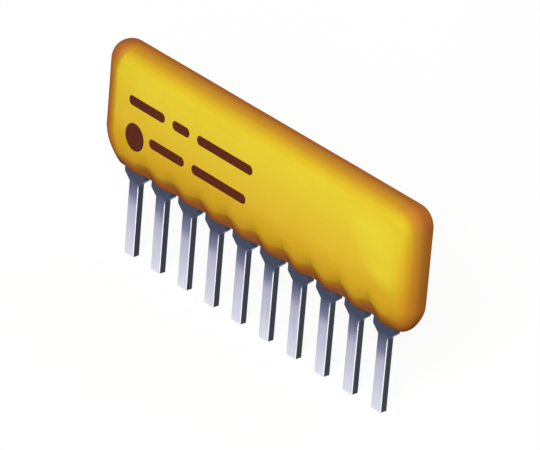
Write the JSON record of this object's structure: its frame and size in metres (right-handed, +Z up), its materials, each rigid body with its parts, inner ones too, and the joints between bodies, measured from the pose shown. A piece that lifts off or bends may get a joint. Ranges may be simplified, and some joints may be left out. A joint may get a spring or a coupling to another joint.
{
  "type": "resistor network",
  "caption": "Single in-line resistor network: printed resistors on a ceramic plate with a row of clip-on leads, sealed in a dipped epoxy coat with a lobe round each lead.",
  "frame": {"origin": "middle of the lead row on the seating plane, where the lead shoulders stop on the board", "axes": "+X along the lead row, away from the lead that the dot marks; +Y away from the printed face; +Z up out of the board"},
  "size_m": [0.028, 0.0024, 0.0137],
  "materials": {
    "epoxy": "glossy dipped epoxy",
    "ceramic": "fired alumina",
    "tinned_lead": "tin plate",
    "conductor": "fired conductor paste",
    "solder": "satin solder",
    "resistor": "fired resistor paste",
    "overglaze": "fired glaze"
  },
  "bodies": {
    "root": {"epoxy_coat": "epoxy", "ceramic_substrate": "ceramic", "lead_pin_01": "tinned_lead", "lead_pin_02": "tinned_lead", "lead_pin_03": "tinned_lead", "lead_pin_04": "tinned_lead", "lead_pin_05": "tinned_lead", "lead_pin_06": "tinned_lead", "lead_pin_07": "tinned_lead", "lead_pin_08": "tinned_lead", "lead_pin_09": "tinned_lead", "lead_pin_10": "tinned_lead", "terminal_pad_01": "conductor", "terminal_pad_02": "conductor", "terminal_pad_03": "conductor", "terminal_pad_04": "conductor", "terminal_pad_05": "conductor", "terminal_pad_06": "conductor", "terminal_pad_07": "conductor", "terminal_pad_08": "conductor", "terminal_pad_09": "conductor", "terminal_pad_10": "conductor", "solder_joint_01": "solder", "solder_joint_02": "solder", "solder_joint_03": "solder", "solder_joint_04": "solder", "solder_joint_05": "solder", "solder_joint_06": "solder", "solder_joint_07": "solder", "solder_joint_08": "solder", "solder_joint_09": "solder", "solder_joint_10": "solder", "resistor_film_1": "resistor", "resistor_film_2": "resistor", "resistor_film_3": "resistor", "resistor_film_4": "resistor", "resistor_film_5": "resistor", "overglaze_1": "overglaze", "overglaze_2": "overglaze", "overglaze_3": "overglaze", "overglaze_4": "overglaze", "overglaze_5": "overglaze"}
  },
  "joints": []
}
